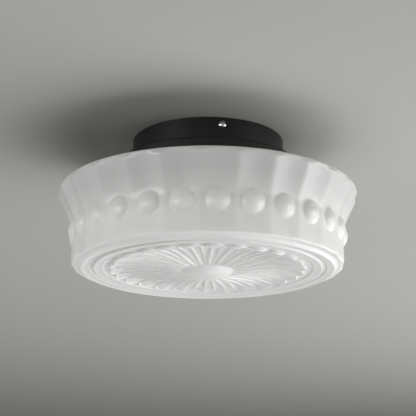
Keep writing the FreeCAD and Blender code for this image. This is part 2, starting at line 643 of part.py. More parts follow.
def make_holder_body(back, joint, front):
    """Phenolic cap and barrel of the lampholder."""
    wall, sleeve = BARREL_WALL, BARREL_R - 1.0
    seat = back + NIPPLE_IN_CAP
    cap = spun_x([xr(back, 0), xr(back, CAP_NECK_R), xr(back + 2, CAP_BACK_R), xr(joint - 4, sleeve),
                  xr(joint, sleeve), xr(joint, sleeve - wall), xr(seat + 1.5, CAP_BACK_R - 1.5),
                  xr(seat, CAP_NECK_R - 1.0), xr(seat, 0)])
    cap = cap.cut(rod(NIPPLE_R + RUNNING, vec(back - BEYOND, 0, LAMP_Z), vec(seat + BEYOND, 0, LAMP_Z)))
    save("lampholder_cap", cap)
    mouth_r = SHELL_BORE_R + SHELL_T + SHELL_GAP
    inner = BARREL_R - wall - 1.0
    skirt = front - BARREL_SKIRT
    barrel = [xr(joint, sleeve), xr(joint + 1, BARREL_R), xr(skirt, BARREL_R), xr(skirt, sleeve),
              xr(front - 1, sleeve - 0.5), xr(front, sleeve - 1.5), xr(front, mouth_r), xr(front - 2, mouth_r),
              xr(front - 2, inner), xr(joint, inner)]
    save("lampholder_barrel", spun_x(barrel))


def make_holder_terminals(insert_back):
    """Brass blocks behind the insert that clamp the two wires, each with its screw."""
    blocks, screws = [], []
    x = insert_back - TERMINAL_L / 2
    for side in (-1, 1):
        y = side * (WIRE_Y + TERMINAL_OUT)
        screw_y = y + side * TERMINAL_SCREW_OUT
        low = LAMP_Z - TERMINAL_HALF_H
        block = box(insert_back - TERMINAL_L, insert_back, y - TERMINAL_HALF_W, y + TERMINAL_HALF_W,
                    low, LAMP_Z + TERMINAL_HALF_H)
        hole = rod(TERMINAL_SCREW_R + RUNNING, vec(x, screw_y, low - BEYOND), vec(x, screw_y, LAMP_Z))
        blocks.append(block.cut(hole))
        head_z = low - TERMINAL_HEAD_L
        screw = rod(TERMINAL_SCREW_R, vec(x, screw_y, head_z), vec(x, screw_y, LAMP_Z - 0.2))
        screws.append(screw.fuse(rod(TERMINAL_HEAD_R, vec(x, screw_y, head_z), vec(x, screw_y, low))))
    save("holder_terminals", *blocks)
    save("holder_terminal_screws", *screws)


def make_lampholder():
    """Phenolic cap and barrel round a ceramic insert, with the threaded contact shell and the terminals."""
    back = LEG_X + PLATE
    joint = back + CAP_L
    front = joint + BARREL_L
    make_holder_body(back, joint, front)
    insert_back = joint + 0.2
    insert_front = insert_back + INSERT_T
    insert_r = BARREL_R - BARREL_WALL - 1.0
    save("lampholder_insert", rod(insert_r, vec(insert_back, 0, LAMP_Z), vec(insert_front, 0, LAMP_Z)))
    shell = rod(SHELL_BORE_R + SHELL_T, vec(insert_front, 0, LAMP_Z), vec(front - 3, 0, LAMP_Z))
    bore = rod(SHELL_BORE_R, vec(insert_front - BEYOND, 0, LAMP_Z), vec(front, 0, LAMP_Z))
    save("screw_shell", shell.cut(bore))
    make_holder_terminals(insert_back)
    return insert_back, insert_front


def make_tongue(insert_front, tip):
    """Sprung tongue that touches the lamp's tip."""
    foot_x, head_x = insert_front + TONGUE_T / 2, tip - CLEARANCE - TONGUE_T / 2
    line = [vec(foot_x, 0, LAMP_Z - 10), vec(foot_x, 0, LAMP_Z - 5), vec(head_x, 0, LAMP_Z),
            vec(head_x - 0.4, 0, LAMP_Z + 3)]
    tongue = strip_face(line, TONGUE_T).extrude(vec(0, TONGUE_W, 0))
    save("centre_contact", tongue.translated(vec(0, -TONGUE_W / 2, 0)))


def make_lamp_cap(start, bore_r):
    """Threaded metal cap of the lamp. Returns where it ends."""
    root = LAMP_CAP_R - LAMP_THREAD_DEPTH
    outline = [xr(start, bore_r), xr(start, root)]
    for i in range(LAMP_THREAD_TURNS):
        x = start + 1.0 + i * LAMP_THREAD_PITCH
        crest = xr(x + LAMP_THREAD_PITCH / 2, LAMP_CAP_R)
        outline += [xr(x, root), ("arc", crest, xr(x + LAMP_THREAD_PITCH, root))]
    end = start + 1.0 + LAMP_THREAD_TURNS * LAMP_THREAD_PITCH + 3.0
    save("lamp_cap", spun_x(outline + [xr(end, root), xr(end, bore_r)]))
    return end


def globe_arc(middle_x, r, ends):
    """Points of the globe's section at a radius, as arcs between angles from its axis."""
    points = [xr(middle_x + r * cos(a), r * sin(a)) for a in ends]
    made = [points[0]]
    for i in range(0, len(ends) - 2, 2):
        made.append(("arc", points[i + 1], points[i + 2]))
    return made


def make_globe(globe_x, seam_x):
    """Opal shell of the lamp, open at the seam."""
    outside = pi - asin(sqrt(GLOBE_R ** 2 - GLOBE_SEAM ** 2) / GLOBE_R)
    in_r = GLOBE_R - GLOBE_T
    inside = pi - asin(sqrt(in_r ** 2 - GLOBE_SEAM ** 2) / in_r)
    quarter = pi / 4
    outer = globe_arc(globe_x, GLOBE_R, (outside, pi / 2, quarter, quarter / 2, 0.0))
    inner = globe_arc(globe_x, in_r, (0.0, quarter / 2, quarter, pi / 2, inside))
    save("lamp_globe", spun_x(outer + inner))


def make_lamp(insert_front):
    """Golf-ball lamp: contact tip, insulator, threaded cap, housing and opal globe."""
    tip = insert_front + 2.1
    make_tongue(insert_front, tip)
    rise = tip + LAMP_TIP_H
    save("lamp_tip", spun_x([xr(tip, 0), ("arc", xr(tip + 0.35, 3.0), xr(rise, LAMP_TIP_R)), xr(rise, 0)]))
    start = rise + INSULATOR_H
    bore_r = LAMP_CAP_R - CAP_LINER_T + 0.1
    save("lamp_insulator", spun_x([xr(rise, 0), xr(rise, LAMP_TIP_R + 0.6),
                                   xr(start, bore_r + 0.2), xr(start, 0)]))
    cap_end = make_lamp_cap(start, bore_r)
    globe_x = tip + LAMP_L - GLOBE_R
    seam_x = globe_x - GLOBE_SEAM
    seam_r = sqrt(GLOBE_R ** 2 - GLOBE_SEAM ** 2)
    spigot = bore_r - 0.1
    save("lamp_housing", spun_x([xr(start, 0), xr(start, spigot), xr(cap_end, spigot),
                                 xr(cap_end, LAMP_CAP_R + 0.35), xr(cap_end + 3, LAMP_CAP_R + 0.95),
                                 xr(seam_x, seam_r), xr(seam_x, 0)]))
    make_globe(globe_x, seam_x)


def make_block():
    """Three-pole terminal block on the canopy floor, with its clamps, clamp screws and fixing screw."""
    low, high = FLOOR_TOP_Z, FLOOR_TOP_Z + BLOCK_H
    y0, y1 = BLOCK_Y - BLOCK_W / 2, BLOCK_Y + BLOCK_W / 2
    body = box(BLOCK_X - BLOCK_L / 2, BLOCK_X + BLOCK_L / 2, y0, y1, low, high)
    clamps, screws = [], []
    for i in (-1, 0, 1):
        x = BLOCK_X + i * POLE_PITCH
        body = body.cut(rod(POLE_BORE_R, vec(x, y0 - BEYOND, WIRE_Z), vec(x, y1 + BEYOND, WIRE_Z)))
        clamp = rod(POLE_BORE_R, vec(x, y0 + 1, WIRE_Z), vec(x, y1 - 1, WIRE_Z))
        clamp = clamp.cut(rod(CLAMP_BORE_R, vec(x, y0, WIRE_Z), vec(x, y1, WIRE_Z)))
        for y in (BLOCK_Y - CLAMP_SCREW_Y, BLOCK_Y + CLAMP_SCREW_Y):
            body = body.cut(rod(CLAMP_WELL_R, vec(x, y, WIRE_Z), vec(x, y, high + BEYOND)))
            clamp = clamp.cut(rod(CLAMP_SCREW_R + RUNNING, vec(x, y, WIRE_Z), vec(x, y, WIRE_Z + BEYOND)))
            screws.append(clamp_screw(x, y, high))
        clamps.append(clamp)
    fix_x = BLOCK_X - POLE_PITCH / 2
    body = body.cut(rod(RIVET_R, vec(fix_x, BLOCK_Y, low - BEYOND), vec(fix_x, BLOCK_Y, high + BEYOND)))
    save("terminal_block", body)
    save("terminal_clamps", *clamps)
    save("terminal_screws", *screws)
    fixing = rod(RIVET_R - RUNNING, vec(fix_x, BLOCK_Y, PLATE_BOTTOM_Z - 1.5), vec(fix_x, BLOCK_Y, high + 0.5))
    save("block_screw", fixing.fuse(rod(2.0, vec(fix_x, BLOCK_Y, high), vec(fix_x, BLOCK_Y, high + 1.6))))


def clamp_screw(x, y, high):
    """Slotted screw that presses a wire in its clamp, with its head sunk below the block's top."""
    screw = rod(CLAMP_SCREW_R, vec(x, y, WIRE_Z + WIRE_R + 0.1), vec(x, y, high - 2.5))
    screw = screw.fuse(rod(CLAMP_HEAD_R, vec(x, y, high - 3.8), vec(x, y, high - 1.5)))
    return screw.cut(box(x - 3, x + 3, y - 0.35, y + 0.35, high - 2.3, high))


def make_earth_washer(x, y):
    floor = FLOOR_TOP_Z
    washer = ring(SCREW_R + RUNNING, EARTH_WASHER_R, floor, floor + EARTH_WASHER_T, x, y)
    for i in range(EARTH_TEETH):
        notch = box(x + EARTH_WASHER_R - 0.9, x + EARTH_WASHER_R + 0.8, y - 0.5, y + 0.5, floor - 1, floor + 1)
        washer = washer.cut(notch.rotated(vec(x, y, 0), vec(0, 0, 1), 360.0 / EARTH_TEETH * i))
    save("earth_washer", washer)


def make_ring_terminal(x, y, low, barrel_z):
    """Flat eye under the earth screw with a crimp barrel for the lead."""
    eye = rod(LUG_R, vec(x, y, low), vec(x, y, low + LUG_T))
    neck = box(x - 1.8, x + 1.8, y, y + LUG_BARREL_START + 1.5, low, low + LUG_T)
    barrel = rod(LUG_BARREL_R, vec(x, y + LUG_BARREL_START, barrel_z), vec(x, y + LUG_BARREL_END, barrel_z))
    hole = rod(SCREW_R + RUNNING, vec(x, y, low - BEYOND), vec(x, y, low + BEYOND))
    crimp = rod(WIRE_R + 0.05, vec(x, y + LUG_BARREL_START + 2, barrel_z),
                vec(x, y + LUG_BARREL_END + 1, barrel_z))
    save("ring_terminal", eye.fuse([neck, barrel]).cut(hole).cut(crimp))


def make_earth():
    """Earth bolt through both sheets, with toothed washer, ring terminal, nut and lead."""
    x, y = BLOCK_X + POLE_PITCH, EARTH_Y
    make_earth_washer(x, y)
    lug_low = FLOOR_TOP_Z + EARTH_WASHER_T
    lug_high = lug_low + LUG_T
    barrel_z = lug_low + LUG_BARREL_R
    make_ring_terminal(x, y, lug_low, barrel_z)
    bolt = rod(SCREW_R, vec(x, y, PLATE_BOTTOM_Z - NUT_T - 1), vec(x, y, lug_high + 0.5))
    head = rod(SCREW_HEAD_R, vec(x, y, lug_high), vec(x, y, lug_high + SCREW_HEAD_H))
    slot_z = lug_high + SCREW_HEAD_H - 1.1
    head = head.cut(box(x - BEYOND, x + BEYOND, y - 0.5, y + 0.5, slot_z, slot_z + BEYOND))
    save("earth_screw", bolt.fuse(head))
    nut = hexagon(NUT_AF, NUT_T, vec(x, y, PLATE_BOTTOM_Z - NUT_T), vec(0, 0, 1))
    save("earth_nut", nut.cut(rod(SCREW_R + RUNNING, vec(x, y, PLATE_BOTTOM_Z - 9), vec(x, y, FLOOR_TOP_Z))))
    block_y = BLOCK_Y - BLOCK_W / 2
    route = [vec(x, block_y + WIRE_INTO_BLOCK, WIRE_Z), vec(x, block_y - 9, WIRE_Z),
             vec(x, y + LUG_BARREL_END + 5, barrel_z), vec(x, y + LUG_BARREL_START + 2.5, barrel_z)]
    save("earth_lead", tube_along(route, WIRE_R, WIRE_BEND_R + 1))


def make_wires(terminal_x):
    """Live and neutral: terminal block, grommet, nipple, lampholder terminals."""
    block_y = BLOCK_Y - BLOCK_W / 2
    for name, pole, side in (("wire_live", -1, 1), ("wire_neutral", 0, -1)):
        x, y = BLOCK_X + pole * POLE_PITCH, side * WIRE_Y
        turn_y = block_y - WIRE_START + side * WIRE_STAGGER
        route = [vec(x, block_y + WIRE_INTO_BLOCK, WIRE_Z), vec(x, turn_y, WIRE_Z),
                 vec(GROMMET_X + WIRE_RUN_IN, y, WIRE_Z), vec(GROMMET_X, y, WIRE_Z), vec(GROMMET_X, y, LAMP_Z),
                 vec(terminal_x, y, LAMP_Z)]
        save(name, tube_along(route, WIRE_R, WIRE_BEND_R))


def make_grommet():
    """Rubber grommet through canopy floor and gallery plate."""
    x, lip_r = GROMMET_X, GROMMET_HOLE_R + GROMMET_LIP
    low, high = PLATE_BOTTOM_Z - GROMMET_LIP_T, FLOOR_TOP_Z + GROMMET_LIP_T
    body = rod(GROMMET_HOLE_R, vec(x, 0, low), vec(x, 0, high))
    body = body.fuse([rod(lip_r, vec(x, 0, low), vec(x, 0, PLATE_BOTTOM_Z)),
                      rod(lip_r, vec(x, 0, FLOOR_TOP_Z), vec(x, 0, high))])
    bore_r = WIRE_Y + WIRE_R + 0.35
    save("wire_grommet", body.cut(rod(bore_r, vec(x, 0, low - BEYOND), vec(x, 0, high + BEYOND))))


make_bracket()
make_tab_nuts()
make_pan_screws()
make_canopy()
make_gallery()
make_rivets()
make_gasket()
make_clips()
make_holder_bracket()
make_nipple()
insert_back_x, insert_front_x = make_lampholder()
make_lamp(insert_front_x)
make_block()
make_earth()
make_wires(insert_back_x - TERMINAL_L)
make_grommet()
make_shade()
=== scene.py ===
"""Flush mount ceiling light: the pressed opal glass shade as a fine mesh, finishes for every other
piece, a plain pale ceiling, soft light and the camera. The shade's tables are in millimetres, with
radii from the light's upright axis and heights from the ceiling, which is at 0."""
import json
import bpy
import numpy as np
from math import cos, pi, radians, sin, sqrt, tan
from mathutils import Matrix, Vector


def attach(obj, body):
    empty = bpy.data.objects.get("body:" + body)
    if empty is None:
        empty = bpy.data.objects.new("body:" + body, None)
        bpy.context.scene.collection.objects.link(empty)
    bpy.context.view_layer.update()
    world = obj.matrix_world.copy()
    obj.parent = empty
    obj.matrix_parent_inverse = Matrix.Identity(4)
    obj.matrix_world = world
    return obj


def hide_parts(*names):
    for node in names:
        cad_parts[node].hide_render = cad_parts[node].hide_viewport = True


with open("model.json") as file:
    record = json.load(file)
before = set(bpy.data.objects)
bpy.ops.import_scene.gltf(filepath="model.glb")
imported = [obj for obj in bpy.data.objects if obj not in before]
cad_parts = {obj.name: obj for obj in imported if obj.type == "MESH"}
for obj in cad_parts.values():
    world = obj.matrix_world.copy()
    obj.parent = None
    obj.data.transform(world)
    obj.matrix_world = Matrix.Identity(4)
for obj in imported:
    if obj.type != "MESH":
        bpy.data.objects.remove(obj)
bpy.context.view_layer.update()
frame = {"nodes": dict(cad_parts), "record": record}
MM = 0.001

# Flutes, buttons and petals come equally often round the shade. The azimuths are in degrees, from
# the front to the middle of the first flute and of the first petal.
FLUTES = 26
PITCH = 2 * pi / FLUTES
FLUTE_AZIMUTH = 3.9
PETAL_AZIMUTH = 2.5
STEPS_PER_HALF_FLUTE = 22

# The wall from its foot to the rim: heights, radii on the ridges, and depths of the flutes.
WALL_Z = (-129.6, -112.0, -93.0, -86.5, -62.0, -60.0, -58.5, -57.0)
WALL_R = (134.4, 134.5, 134.8, 137.0, 148.6, 149.4, 149.2, 148.2)
WALL_FLUTE = (1.2, 1.2, 1.4, 2.3, 3.0, 2.8, 1.9, 0.0)
WALL_ROUNDING = 3.0
RIDGE_SOFTNESS = 0.2              # rounding of the ridges, as a share of half a flute
RIM_START_Z = -62.0
RIM_ROUNDING = 1.0
RIM_CENTRE = (145.4, -57.0)       # of the roll along the rim: radius and height
RIM_ROLL = (2.8, 2.95)            # its half width and half height

# The round buttons on the band, each the cap of a ball.
BUTTON_R = 11.6
BUTTON_H = 5.3
BUTTON_Z = -99.8
BUTTON_SEAT_R = WALL_R[2] - WALL_FLUTE[2]
BUTTON_FILLET = 0.8

# The round part of the underside, with the inner ring and the foot, and the corner up to the wall.
VALLEY_Z = -131.7
RINGED_R = (97.0, 102.6, 103.5, 104.3, 105.3, 108.5, 111.0, 112.0, 112.7, 113.4, 114.4, 116.0,
            116.9, 117.7, 118.7, 121.8, 123.6, 124.4, 125.2, 126.2, 127.3, 128.6, 131.6)
RINGED_Z = (-131.7, -131.7, -132.2, -133.1, -132.8, -133.0, -133.6, -134.1, -133.7, -132.6, -132.0,
            -132.0, -132.6, -133.3, -133.0, -133.3, -133.9, -134.5, -133.8, -132.5, -131.5, -131.0,
            -130.9)
RINGED_ROUNDING = 0.3
CORNER_START_R = 131.6
CORNER_TOP_Z = -129.2
CORNER_DROP = 1.7

# The smooth boss in the middle, the cap of a ball.
BOSS_R = 25.5
BOSS_ROOT_Z = -133.7
BOSS_H = 9.0
BOSS_FILLET = 0.6
BOSS_FILLET_REACH = 2.5

# The rosette of petals: its saucer, the petals' rounded ends with a cusp between each two, the
# scoops beside the long ribs, and the raised lines. A fade is the stretch over which something
# grows to its full height, in radii, or for the long ribs' tips in distances inside the ends.
SAUCER_R = (25.5, 38.0, 52.0, 70.0, 84.0, 91.0, 97.0)
SAUCER_Z = (-134.0, -133.5, -131.9, -130.4, -131.2, -133.0, -134.6)
PETAL_END_R = 97.2
PETAL_END_POWER = 2.4             # a larger power gives squarer ends
CUSP_IN = 4.8
CUSP_RISE = 2.2
CUSP_RISE_POWER = 2.2
CUSP_FADE = (82.0, 94.0)
SCOOP = 0.55
SCOOP_FADE = (BOSS_R, 45.0)
LONG_RIB = (1.5, 0.75)            # height and half width, as in the next two lines
SHORT_RIB = (1.35, 0.7)
OUTLINE = (1.2, 0.8)
OUTLINE_IN = 0.9
LONG_RIB_FADE = (BOSS_R - 1.0, 33.0)
LONG_RIB_TIP_FADE = (7.0, 26.0)
SHORT_RIB_FADE = (36.0, 76.0)

# The inside from the middle of the floor up to the edge of the neck, and the neck from that edge
# down to the shoulder: radii and heights.
CAVITY = ((0.0, -125.9), (60.0, -125.9), (121.6, -125.9), (125.6, -124.8), (128.5, -121.9),
          (129.9, -117.9), (130.0, -110.0), (130.0, -93.0), (131.5, -86.5), (143.0, -60.5),
          (142.0, -58.6), (140.8, -58.0), (84.0, -49.7), (79.6, -48.4), (78.8, -46.7),
          (78.8, -38.0), (78.8, -29.5))
NECK = ((79.4, -28.5), (83.7, -28.5), (84.3, -28.8), (84.5, -29.4), (84.5, -32.8), (84.1, -33.3),
        (82.3, -34.0), (82.0, -34.6), (82.0, -42.6), (82.5, -44.0), (83.8, -45.3), (86.0, -46.2),
        (89.0, -46.7))

# Where the mesh has its rings, close together where the shape turns sharply.
BOSS_RINGS = np.linspace(1.5, BOSS_R - 0.5, 15)
PETAL_RINGS = np.linspace(BOSS_R, 77.0, 39)
PETAL_END_RINGS = (18.6, 17.2, 15.8, 14.4, 13.0, 11.6, 10.3, 9.1, 8.0, 7.1, 6.3, 5.3, 4.4, 3.6,
                   3.0, 2.5, 2.1, 1.8, 1.5, 1.2, 1.0, 0.8, 0.6, 0.4, 0.2)   # inside the ends
ROUND_TO_PETALS = (20.0, 8.0)     # where they go from round to the outline of the ends
PETAL_SIDE_SHARES = (0.08, 0.3, 0.6, 0.88)
PETAL_SIDE_START = 0.15
PETAL_SIDE_WIDTH = 0.35
VALLEY_START = 0.9
VALLEY_RINGS = np.arange(98.4, 102.8, 1.1)
RINGED_RINGS = np.arange(103.0, 131.4, 0.3)
CORNER_TURNS = range(0, 90, 9)
BAND_RINGS = np.arange(CORNER_TOP_Z + 0.2, -113.5, 1.5)
BUTTON_RINGS = np.arange(-113.3, -86.2, 0.7)
FLARE_RINGS = np.arange(-85.6, -62.5, 1.5)
UNDER_RIM_RINGS = np.arange(-62.0, -57.1, 0.35)
RIM_TURNS = range(0, 91, 8)
SHOULDER_SHARES = (0.04, 0.12, 0.3, 0.5, 0.7, 0.85, 0.95)


def flute_columns():
    """Angles of the mesh's columns, with each one's place in its flute and in its petal: 0 in the
    middle, 1 or -1 where it meets the next."""
    share = np.arange(-STEPS_PER_HALF_FLUTE, STEPS_PER_HALF_FLUTE) / STEPS_PER_HALF_FLUTE
    start = radians(FLUTE_AZIMUTH - 90.0)
    angles = np.concatenate([start + (i + share / 2) * PITCH for i in range(FLUTES)])
    turns = (angles - radians(PETAL_AZIMUTH - 90.0)) / PITCH
    return angles, np.tile(share, FLUTES), 2.0 * (turns - np.round(turns))


def fade(x, low, high):
    """0 below low, 1 above high, and a smooth step between."""
    t = np.clip((x - low) / (high - low), 0.0, 1.0)
    return t * t * (3.0 - 2.0 * t)


def higher(a, b, soft):
    """The larger of two values, with a fillet where they cross."""
    gap = np.clip(0.5 + 0.5 * (a - b) / soft, 0.0, 1.0)
    return b + (a - b) * gap + soft * gap * (1.0 - gap)


def rounded(x, reach, xs, ys):
    """A table's value at x, as the mean of nine readings over a reach to either side, which
    rounds its corners."""
    return float(np.mean(np.interp(x + np.linspace(-reach, reach, 9), xs, ys)))


def raised_line(distance, height, half_width):
    """Height of a thin raised line at a distance from its crest."""
    return height * np.exp(-(distance / half_width) ** 2)


def ball_radius(cap_radius, cap_height):
    """Radius of the ball that a cap is cut from."""
    return (cap_radius ** 2 + cap_height ** 2) / (2 * cap_height)


def hollow(place):
    """Depth of a scalloped flute, 1 in its middle and 0 on the softly rounded ridge at either
    side.
    """
    soft = RIDGE_SOFTNESS
    from_ridge = 1.0 - np.abs(place)
    depth = (np.sqrt(from_ridge ** 2 + soft ** 2) - soft) / (sqrt(1 + soft ** 2) - soft)
    return depth * (2.0 - depth)


def wall_ring(z, place):
    """Radius of the fluted wall and its buttons at one height."""
    rounding = RIM_ROUNDING if z > RIM_START_Z else WALL_ROUNDING
    flute = rounded(z, rounding, WALL_Z, WALL_FLUTE) * hollow(place)
    wall = rounded(z, rounding, WALL_Z, WALL_R) - flute
    ball = ball_radius(BUTTON_R, BUTTON_H)
    centre = BUTTON_SEAT_R + BUTTON_H - ball
    turn = place * PITCH / 2
    room = ball ** 2 - (z - BUTTON_Z) ** 2 - (centre * np.sin(turn)) ** 2
    button = np.where(room > 0, centre * np.cos(turn) + np.sqrt(np.maximum(room, 0.0)), 0.0)
    return higher(button, wall, BUTTON_FILLET)


def petal_end(place):
    """Radius of the rounded outer ends of the petals."""
    return PETAL_END_R - CUSP_IN * np.abs(place) ** PETAL_END_POWER


def rosette_z(r, place):
    """Height of the rosette: hollow petals, a long rib in each, a short rib between each two and
    a raised outline."""
    from_middle = np.abs(place) * r * tan(PITCH / 2)
    to_cusp = (1.0 - np.abs(place)) * r * tan(PITCH / 2)
    inside = petal_end(place) - r
    channel = 4.0 * np.abs(place) * (1.0 - np.abs(place))
    ground = np.interp(r, SAUCER_R, SAUCER_Z) + SCOOP * channel * fade(r, *SCOOP_FADE)
    ground += CUSP_RISE * np.abs(place) ** CUSP_RISE_POWER * fade(r, *CUSP_FADE)
    long_rib = raised_line(from_middle, *LONG_RIB) * fade(r, *LONG_RIB_FADE)
    long_rib = long_rib * fade(inside, *LONG_RIB_TIP_FADE)
    short_rib = raised_line(to_cusp, *SHORT_RIB) * fade(r, *SHORT_RIB_FADE)
    short_rib = short_rib * fade(inside, 0.0, OUTLINE_IN)
    outline = raised_line(inside - OUTLINE_IN, *OUTLINE)
    return ground - np.maximum(np.maximum(long_rib, short_rib), outline)


def boss_z(r):
    """Height of the boss at one radius."""
    ball = ball_radius(BOSS_R, BOSS_H)
    return BOSS_ROOT_Z - BOSS_H + ball - np.sqrt(ball ** 2 - np.minimum(r, ball) ** 2)


def rosette_rings(place):
    """Rings from the tip of the boss out to the valley round the petals."""
    end = petal_end(place)
    rings = []
    for r in (*BOSS_RINGS, *PETAL_RINGS):
        z = rosette_z(np.full_like(place, r), place)
        if r < BOSS_R + BOSS_FILLET_REACH:
            z = -higher(-z, -boss_z(r), BOSS_FILLET)
        rings.append((np.full_like(place, r), z))
    for inside in PETAL_END_RINGS:
        follow = fade(-inside, -ROUND_TO_PETALS[0], -ROUND_TO_PETALS[1])
        r = follow * (end - inside) + (1.0 - follow) * (PETAL_END_R - inside)
        rings.append((r, rosette_z(r, place)))
    low = rings[-1][1]
    for share in PETAL_SIDE_SHARES:
        r = end + PETAL_SIDE_START + PETAL_SIDE_WIDTH * share
        rings.append((r, low + (VALLEY_Z - low) * share))
    rings.append((end + VALLEY_START, np.full_like(place, VALLEY_Z)))
    return rings


def shade_rings():
    """Rings of the shade from the tip of the boss up the outside, over the rim and the neck, and
    down the inside."""
    angles, place, petal_place = flute_columns()
    flat = np.zeros_like(place)
    rings = rosette_rings(petal_place)
    for r in (*VALLEY_RINGS, *RINGED_RINGS):
        rings.append((flat + r, flat + rounded(r, RINGED_ROUNDING, RINGED_R, RINGED_Z)))
    foot = wall_ring(CORNER_TOP_Z, place)
    for turn in CORNER_TURNS:
        a = radians(turn)
        r = CORNER_START_R + (foot - CORNER_START_R) * sin(a)
        rings.append((r, flat + CORNER_TOP_Z - CORNER_DROP * cos(a)))
    for z in (*BAND_RINGS, *BUTTON_RINGS, *FLARE_RINGS, *UNDER_RIM_RINGS):
        rings.append((wall_ring(z, place), flat + z))
    for turn in RIM_TURNS:
        a = radians(turn)
        r, z = RIM_CENTRE[0] + RIM_ROLL[0] * cos(a), RIM_CENTRE[1] + RIM_ROLL[1] * sin(a)
        rings.append((flat + r, flat + z))
    rim_r, rim_z = RIM_CENTRE[0], RIM_CENTRE[1] + RIM_ROLL[1]
    neck_r, neck_z = NECK[-1]
    for share in SHOULDER_SHARES:
        r, z = rim_r + (neck_r - rim_r) * share, rim_z + (neck_z - rim_z) * share
        rings.append((flat + r, flat + z))
    for r, z in NECK[::-1] + CAVITY[:0:-1]:
        rings.append((flat + r, flat + z))
    return angles, rings


def make_shade():
    """The opal glass as one closed mesh: its rings, and a point in the middle at both ends."""
    angles, rings = shade_rings()
    count, rows = len(angles), len(rings)
    points = [np.column_stack((r * np.cos(angles), r * np.sin(angles), z)) for r, z in rings]
    boss_tip = [[0.0, 0.0, BOSS_ROOT_Z - BOSS_H]]
    floor_middle = [[0.0, 0.0, CAVITY[0][1]]]
    verts = np.concatenate(points + [boss_tip, floor_middle]) * MM
    i = np.arange(count)
    j = (i + 1) % count
    faces = []
    for row in range(rows - 1):
        a, b = row * count, (row + 1) * count
        faces += np.column_stack((b + i, b + j, a + j, a + i)).tolist()
    last, tip, middle = (rows - 1) * count, rows * count, rows * count + 1
    faces += [(int(p), int(q), tip) for p, q in zip(i, j)]
    faces += [(int(last + q), int(last + p), middle) for p, q in zip(i, j)]
    mesh = bpy.data.meshes.new("opal_shade")
    mesh.from_pydata(verts.tolist(), [], faces)
    mesh.validate()
    mesh.polygons.foreach_set("use_smooth", [True] * len(mesh.polygons))
    shade = bpy.data.objects.new("opal_shade", mesh)
    bpy.context.collection.objects.link(shade)
    return shade


def add_node(tree, kind, inputs=None, **settings):
    """A node with its settings, and its inputs either set to values or linked from sockets."""
    made = tree.nodes.new(kind)
    for name, value in settings.items():
        setattr(made, name, value)
    for name, value in (inputs or {}).items():
        socket = made.inputs[name]
        if isinstance(value, bpy.types.NodeSocket):
            tree.links.new(value, socket)
        else:
            socket.default_value = value
    return made


def maths(tree, operation, *values, clamp=False):
    """The result of one operation on values or sockets."""
    return add_node(tree, "ShaderNodeMath", dict(enumerate(values)), operation=operation,
                    use_clamp=clamp).outputs[0]


def spread(tree, value, zero_at, one_at):
    """A value stretched so that it is 0 at one number and 1 at another."""
    inputs = {"Value": value, "From Min": zero_at, "From Max": one_at}
    return add_node(tree, "ShaderNodeMapRange", inputs).outputs[0]


def noise(tree, position, scale, detail, roughness=0.5):
    """A cloudy value that changes over the surface."""
    inputs = {"Vector": position, "Scale": scale, "Detail": detail, "Roughness": roughness}
    return add_node(tree, "ShaderNodeTexNoise", inputs).outputs[0]


def mix_values(tree, share, first, second):
    """One value where the share is 0, the other where it is 1."""
    return add_node(tree, "ShaderNodeMix", {0: share, 2: first, 3: second}).outputs[0]


def mix_colours(tree, share, first, second):
    """One colour where the share is 0, the other where it is 1."""
    mixed = add_node(tree, "ShaderNodeMix", {0: share, 6: first, 7: second}, data_type="RGBA")
    return mixed.outputs[2]


def colour(r, g, b):
    """A linear colour with its alpha, from 8-bit sRGB values."""
    linear = [(v / 255.0 / 12.92) if v <= 10 else ((v / 255.0 + 0.055) / 1.055) ** 2.4
              for v in (r, g, b)]
    return (*linear, 1.0)


def new_group(name, inputs, outputs):
    """An empty shader group with float, vector or colour sockets. Returns its tree, the sockets
    that give its inputs and the sockets that take its outputs."""
    kinds = {"f": "NodeSocketFloat", "v": "NodeSocketVector", "c": "NodeSocketColor"}
    tree = bpy.data.node_groups.new(name, "ShaderNodeTree")
    for label, (kind, value) in inputs.items():
        socket = tree.interface.new_socket(label, in_out="INPUT", socket_type=kinds[kind])
        if value is not None:
            socket.default_value = value
    for label, kind in outputs.items():
        tree.interface.new_socket(label, in_out="OUTPUT", socket_type=kinds[kind])
    ins, outs = tree.nodes.new("NodeGroupInput"), tree.nodes.new("NodeGroupOutput")
    return tree, ins.outputs, outs.inputs


def cloud_group():
    """Slow change of colour and gloss over a surface, in two sizes of cloud."""
    tree, ins, outs = new_group("cloud", {
        "Position": ("v", None), "Size": ("f", 0.02), "Dark": ("c", None), "Light": ("c", None),
    }, {"Color": "c", "Mask": "f"})
    broad_share, small_share, times_smaller = 0.7, 0.3, 6.0
    scale = maths(tree, "DIVIDE", 1.0, ins["Size"])
    broad = noise(tree, ins["Position"], scale, detail=4.0)
    small = noise(tree, ins["Position"], maths(tree, "MULTIPLY", scale, times_smaller), detail=2.0)
    both = maths(tree, "ADD", maths(tree, "MULTIPLY", broad, broad_share),
                 maths(tree, "MULTIPLY", small, small_share))
    mask = spread(tree, both, zero_at=0.34, one_at=0.66)
    tree.links.new(mix_colours(tree, mask, ins["Dark"], ins["Light"]), outs["Color"])
    tree.links.new(mask, outs["Mask"])
    return tree


def grain_group():
    """Fine relief: an even grain with a slower swell under it."""
    tree, ins, outs = new_group("grain", {
        "Position": ("v", None), "Size": ("f", 0.001), "Swell": ("f", 0.02),
        "Swell share": ("f", 0.5),
    }, {"Height": "f"})
    fine = noise(tree, ins["Position"], maths(tree, "DIVIDE", 1.0, ins["Size"]), detail=3.0)
    slow = noise(tree, ins["Position"], maths(tree, "DIVIDE", 1.0, ins["Swell"]), detail=1.0)
    tree.links.new(mix_values(tree, ins["Swell share"], fine, slow), outs["Height"])
    return tree


